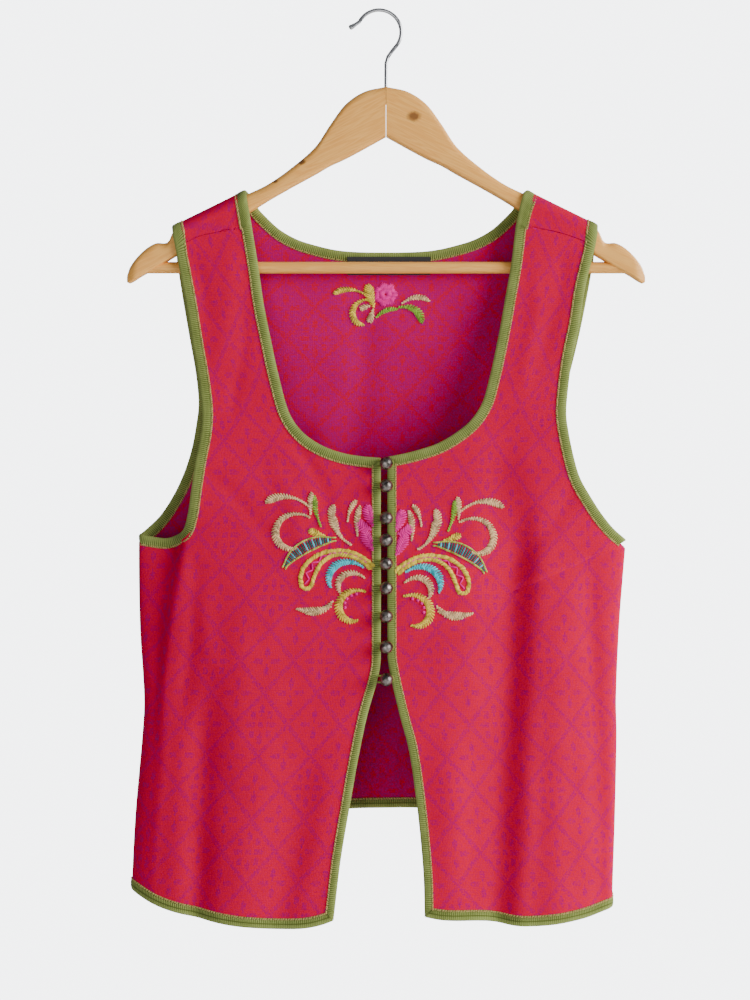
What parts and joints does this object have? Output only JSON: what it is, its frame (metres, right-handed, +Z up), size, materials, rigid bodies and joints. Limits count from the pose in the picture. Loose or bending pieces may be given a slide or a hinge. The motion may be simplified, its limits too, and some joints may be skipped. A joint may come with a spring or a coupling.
{
  "type": "vest on a wooden clothes hanger",
  "caption": "Hip-length folk vest of patterned knit with ribbed bindings, floral embroidery, ball buttons and cord loops, hung flat on a wooden clothes hanger.",
  "frame": {"origin": "the point under the top of the hanger's hook, where a rail or a peg carries it", "axes": "+Z up, +Y from the vest's front to its back, +X to the right as seen from the front"},
  "size_m": [0.442, 0.0743, 0.7788],
  "materials": {
    "red_purple_knit": "matte knit",
    "sage_rib_binding": "matte rib",
    "oiled_wood": "satin",
    "bright_steel": "polished",
    "antique_silver": "darkened metal",
    "black_woven": "matte"
  },
  "bodies": {
    "root": {"front_left": "red_purple_knit", "front_right": "red_purple_knit", "back": "red_purple_knit", "binding_neck": "sage_rib_binding", "binding_front_left": "sage_rib_binding", "binding_front_right": "sage_rib_binding", "binding_armhole_left": "sage_rib_binding", "binding_armhole_right": "sage_rib_binding", "binding_hem": "sage_rib_binding", "label": "black_woven", "hanger_arm_left": "oiled_wood", "hanger_arm_right": "oiled_wood", "hanger_bar": "oiled_wood", "hanger_hook": "bright_steel", "button_1": "antique_silver", "button_2": "antique_silver", "button_3": "antique_silver", "button_4": "antique_silver", "button_5": "antique_silver", "button_6": "antique_silver", "button_7": "antique_silver", "button_8": "antique_silver", "button_9": "antique_silver", "button_loop_1": "sage_rib_binding", "button_loop_2": "sage_rib_binding", "button_loop_3": "sage_rib_binding", "button_loop_4": "sage_rib_binding", "button_loop_5": "sage_rib_binding", "button_loop_6": "sage_rib_binding", "button_loop_7": "sage_rib_binding", "button_loop_8": "sage_rib_binding", "button_loop_9": "sage_rib_binding"}
  },
  "joints": []
}
